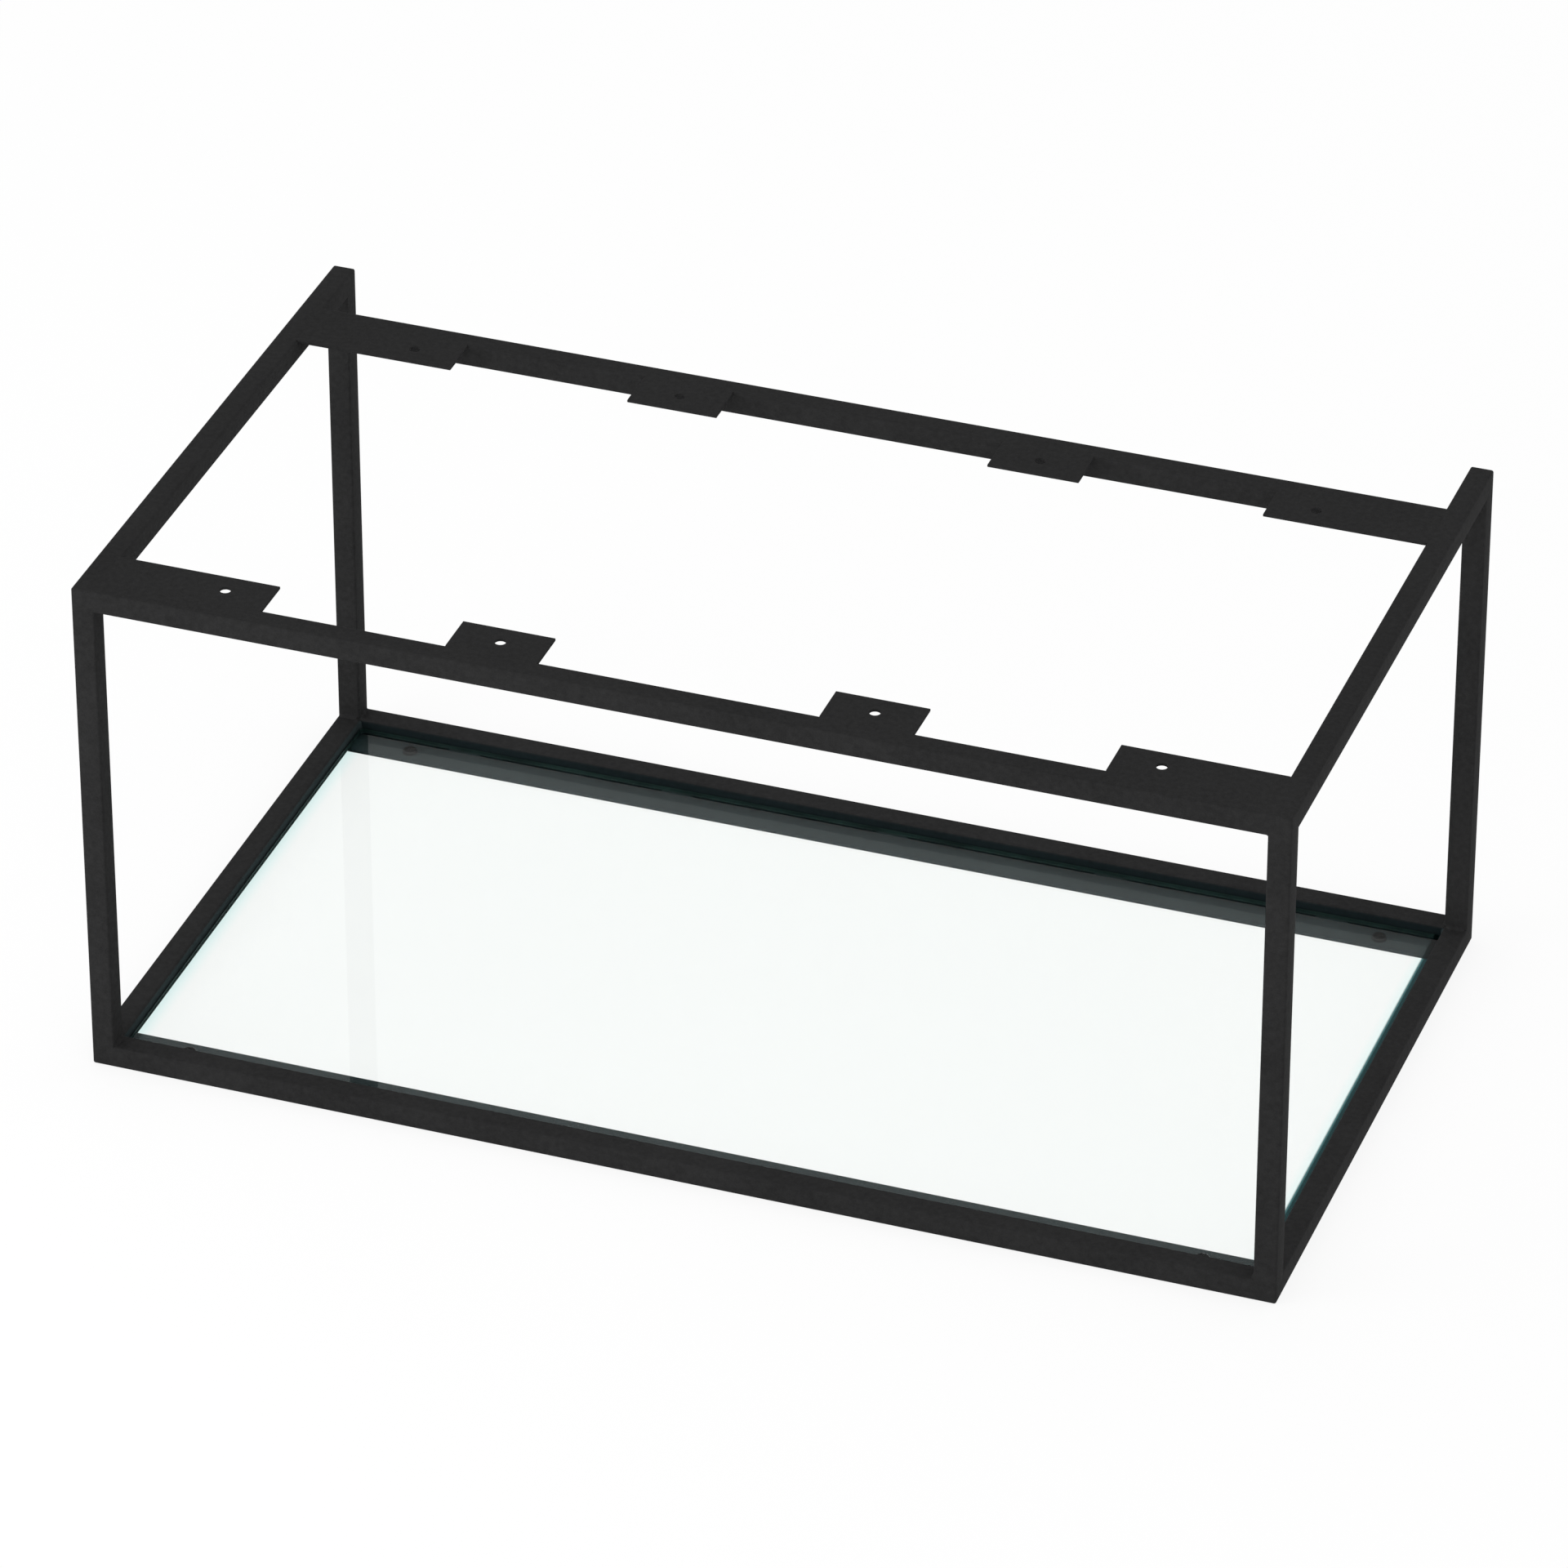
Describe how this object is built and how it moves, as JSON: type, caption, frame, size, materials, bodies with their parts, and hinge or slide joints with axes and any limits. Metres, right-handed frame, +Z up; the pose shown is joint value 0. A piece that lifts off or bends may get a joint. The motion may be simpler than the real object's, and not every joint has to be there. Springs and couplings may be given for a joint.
{
  "type": "tube frame with glass shelf",
  "caption": "Open box frame of welded black square tube with screw tabs under its top plane for a worktop or basin, and a clear glass shelf lying loose in its bottom.",
  "frame": {"origin": "middle of the footprint, on the surface the frame stands on", "axes": "+X along the width, +Y from the front to the rear, +Z up"},
  "size_m": [0.78, 0.43, 0.35],
  "materials": {
    "powder_coated_steel": "fine matt black powder coat",
    "clear_pad": "soft clear bumper",
    "glass": "clear float glass, ground and polished edges"
  },
  "bodies": {
    "frame": {"front_left_post": "powder_coated_steel", "front_right_post": "powder_coated_steel", "rear_left_post": "powder_coated_steel", "rear_right_post": "powder_coated_steel", "left_top_rail": "powder_coated_steel", "right_top_rail": "powder_coated_steel", "left_bottom_rail": "powder_coated_steel", "right_bottom_rail": "powder_coated_steel", "front_top_rail": "powder_coated_steel", "rear_top_rail": "powder_coated_steel", "front_bottom_rail": "powder_coated_steel", "rear_bottom_rail": "powder_coated_steel", "front_left_corner_tab": "powder_coated_steel", "front_right_corner_tab": "powder_coated_steel", "rear_left_corner_tab": "powder_coated_steel", "rear_right_corner_tab": "powder_coated_steel", "front_left_middle_tab": "powder_coated_steel", "front_right_middle_tab": "powder_coated_steel", "rear_left_middle_tab": "powder_coated_steel", "rear_right_middle_tab": "powder_coated_steel", "front_ledge": "powder_coated_steel", "rear_ledge": "powder_coated_steel", "ledge_pads": "clear_pad"},
    "glass": {"glass_shelf": "glass"}
  },
  "joints": [
    {"name": "glass_lift", "type": "slide", "parent": "frame", "child": "glass", "axis": [0, 0, 1], "range_m": [0, 0.32]}
  ]
}
